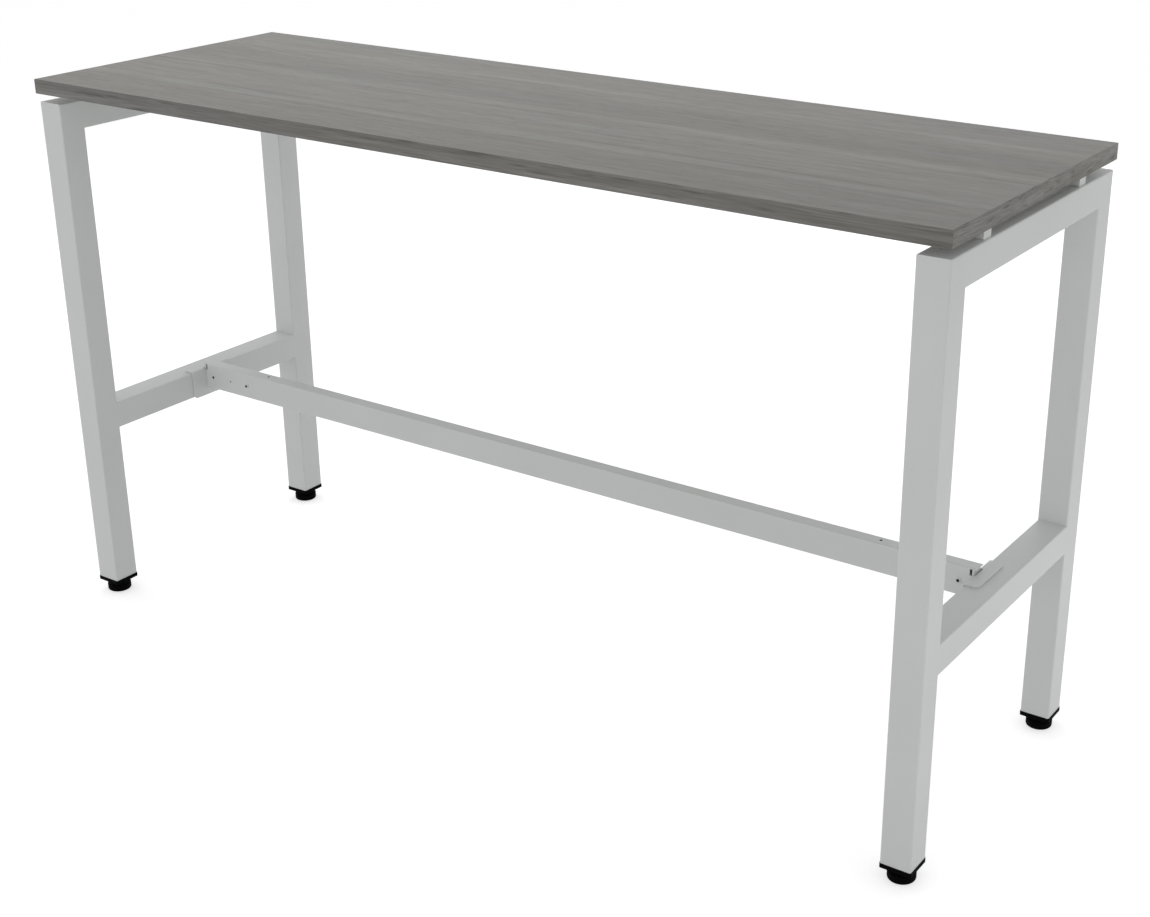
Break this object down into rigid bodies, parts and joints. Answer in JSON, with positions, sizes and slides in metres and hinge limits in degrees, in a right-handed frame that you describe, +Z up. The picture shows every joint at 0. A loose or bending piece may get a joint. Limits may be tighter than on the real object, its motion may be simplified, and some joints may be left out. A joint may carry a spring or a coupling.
{
  "type": "standing desk",
  "caption": "Fixed-height standing desk: wood-grain top floating over welded square-tube end frames, tied by a low stretcher on bent brackets, on screw-adjusted levelling feet.",
  "frame": {"origin": "on the floor under the middle of the desk", "axes": "+X to the right along the length, +Y to the back, +Z up"},
  "size_m": [1.829, 0.6096, 1.044],
  "materials": {
    "woodgrain_laminate": "matt grey-brown wood-grain laminate, grain along the length",
    "particle_board": "raw particle board, covered on every side",
    "backing_sheet": "plain matt backing laminate",
    "painted_steel": "light silver-grey powder coat, satin",
    "zinc_steel": "bright zinc plating",
    "black_plastic": "black moulded plastic, fine texture"
  },
  "bodies": {
    "frame": {"top_face_laminate": "woodgrain_laminate", "edge_band_front": "woodgrain_laminate", "edge_band_back": "woodgrain_laminate", "edge_band_left": "woodgrain_laminate", "edge_band_right": "woodgrain_laminate", "top_core_board": "particle_board", "top_backing_sheet": "backing_sheet", "leg_front_left": "painted_steel", "leg_front_right": "painted_steel", "leg_back_left": "painted_steel", "leg_back_right": "painted_steel", "top_rail_left": "painted_steel", "top_rail_right": "painted_steel", "cross_rail_left": "painted_steel", "cross_rail_right": "painted_steel", "bracket_left": "painted_steel", "bracket_right": "painted_steel", "spigot_left": "painted_steel", "spigot_right": "painted_steel", "support_rail_front": "painted_steel", "support_rail_back": "painted_steel", "stretcher": "painted_steel", "stretcher_screws": "painted_steel", "top_screws": "zinc_steel", "frame_screws": "zinc_steel", "rail_nuts": "zinc_steel", "foot_nut_front_left": "zinc_steel", "foot_nut_front_right": "zinc_steel", "foot_nut_back_left": "zinc_steel", "foot_nut_back_right": "zinc_steel", "leg_cap_front_left": "black_plastic", "leg_cap_front_right": "black_plastic", "leg_cap_back_left": "black_plastic", "leg_cap_back_right": "black_plastic"},
    "pad_front_left": {"foot_pad_front_left": "black_plastic"},
    "stud_front_left": {"foot_stud_front_left": "zinc_steel"},
    "pad_front_right": {"foot_pad_front_right": "black_plastic"},
    "stud_front_right": {"foot_stud_front_right": "zinc_steel"},
    "pad_back_left": {"foot_pad_back_left": "black_plastic"},
    "stud_back_left": {"foot_stud_back_left": "zinc_steel"},
    "pad_back_right": {"foot_pad_back_right": "black_plastic"},
    "stud_back_right": {"foot_stud_back_right": "zinc_steel"}
  },
  "joints": [
    {"name": "foot_slide_front_left", "type": "slide", "parent": "frame", "child": "pad_front_left", "axis": [0, 0, -1], "range_m": [0, 0.02]},
    {"name": "foot_screw_front_left", "type": "hinge", "parent": "pad_front_left", "child": "stud_front_left", "pos_m": [-0.88655, -0.27265, 0.015], "axis": [0, 0, -1], "range_deg": [0, 4800]},
    {"name": "foot_slide_front_right", "type": "slide", "parent": "frame", "child": "pad_front_right", "axis": [0, 0, -1], "range_m": [0, 0.02]},
    {"name": "foot_screw_front_right", "type": "hinge", "parent": "pad_front_right", "child": "stud_front_right", "pos_m": [0.88655, -0.27265, 0.015], "axis": [0, 0, -1], "range_deg": [0, 4800]},
    {"name": "foot_slide_back_left", "type": "slide", "parent": "frame", "child": "pad_back_left", "axis": [0, 0, -1], "range_m": [0, 0.02]},
    {"name": "foot_screw_back_left", "type": "hinge", "parent": "pad_back_left", "child": "stud_back_left", "pos_m": [-0.88655, 0.27265, 0.015], "axis": [0, 0, -1], "range_deg": [0, 4800]},
    {"name": "foot_slide_back_right", "type": "slide", "parent": "frame", "child": "pad_back_right", "axis": [0, 0, -1], "range_m": [0, 0.02]},
    {"name": "foot_screw_back_right", "type": "hinge", "parent": "pad_back_right", "child": "stud_back_right", "pos_m": [0.88655, 0.27265, 0.015], "axis": [0, 0, -1], "range_deg": [0, 4800]}
  ],
  "couplings": [
    {"joint": "foot_screw_front_left", "follows": "foot_slide_front_left", "rad_per_m": 4188.8},
    {"joint": "foot_screw_front_right", "follows": "foot_slide_front_right", "rad_per_m": 4188.8},
    {"joint": "foot_screw_back_left", "follows": "foot_slide_back_left", "rad_per_m": 4188.8},
    {"joint": "foot_screw_back_right", "follows": "foot_slide_back_right", "rad_per_m": 4188.8}
  ]
}
